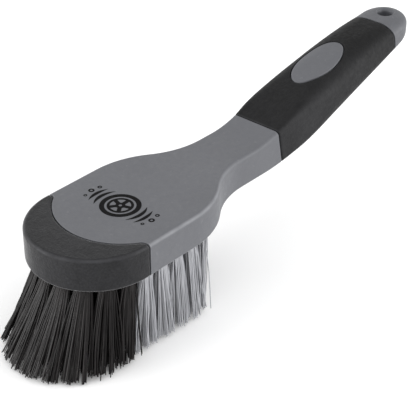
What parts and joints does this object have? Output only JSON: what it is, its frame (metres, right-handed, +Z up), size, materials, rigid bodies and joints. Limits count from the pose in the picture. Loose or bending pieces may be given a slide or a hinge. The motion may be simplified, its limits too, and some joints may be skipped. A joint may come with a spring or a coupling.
{
  "type": "wheel brush",
  "caption": "Hand brush for washing wheels: round-nosed head with splayed stiff bristles, soft front bumper, raised handle with soft grip and a hang hole.",
  "frame": {"origin": "the middle of the bounding box's floor: on the centre line, at the height of the bristle tips", "axes": "+X along the brush from the head to the handle's end, +Y to the left of the handle seen from its end, +Z up out of the head's flat top"},
  "size_m": [0.2774, 0.064, 0.084],
  "materials": {
    "core_plastic": "fine moulded grain, mid grey",
    "bumper_rubber": "matt soft-touch, charcoal",
    "grip_rubber": "matt soft-touch, near black",
    "black_filament": "satin extruded filament, black",
    "grey_filament": "satin extruded filament, light grey",
    "anchor_metal": "flat drawn wire",
    "print_ink": "pad-printed black ink"
  },
  "bodies": {
    "root": {"body_core": "core_plastic", "front_bumper": "bumper_rubber", "grip_sleeve": "grip_rubber", "black_tuft_01": "black_filament", "black_tuft_02": "black_filament", "black_tuft_03": "black_filament", "black_tuft_04": "black_filament", "black_tuft_05": "black_filament", "black_tuft_06": "black_filament", "black_tuft_07": "black_filament", "black_tuft_08": "black_filament", "black_tuft_09": "black_filament", "black_tuft_10": "black_filament", "black_tuft_11": "black_filament", "black_tuft_12": "black_filament", "black_tuft_13": "black_filament", "black_tuft_14": "black_filament", "black_tuft_15": "black_filament", "black_tuft_16": "black_filament", "black_tuft_17": "black_filament", "black_tuft_18": "black_filament", "black_tuft_19": "black_filament", "grey_tuft_01": "grey_filament", "grey_tuft_02": "grey_filament", "grey_tuft_03": "grey_filament", "grey_tuft_04": "grey_filament", "grey_tuft_05": "grey_filament", "grey_tuft_06": "grey_filament", "grey_tuft_07": "grey_filament", "grey_tuft_08": "grey_filament", "grey_tuft_09": "grey_filament", "grey_tuft_10": "grey_filament", "grey_tuft_11": "grey_filament", "grey_tuft_12": "grey_filament", "grey_tuft_13": "grey_filament", "grey_tuft_14": "grey_filament", "grey_tuft_15": "grey_filament", "grey_tuft_16": "grey_filament", "grey_tuft_17": "grey_filament", "grey_tuft_18": "grey_filament", "grey_tuft_19": "grey_filament", "grey_tuft_20": "grey_filament", "grey_tuft_21": "grey_filament", "grey_tuft_22": "grey_filament", "grey_tuft_23": "grey_filament", "grey_tuft_24": "grey_filament", "grey_tuft_25": "grey_filament", "grey_tuft_26": "grey_filament", "grey_tuft_27": "grey_filament", "grey_tuft_28": "grey_filament", "grey_tuft_29": "grey_filament", "grey_tuft_30": "grey_filament", "grey_tuft_31": "grey_filament", "grey_tuft_32": "grey_filament"}
  },
  "joints": []
}
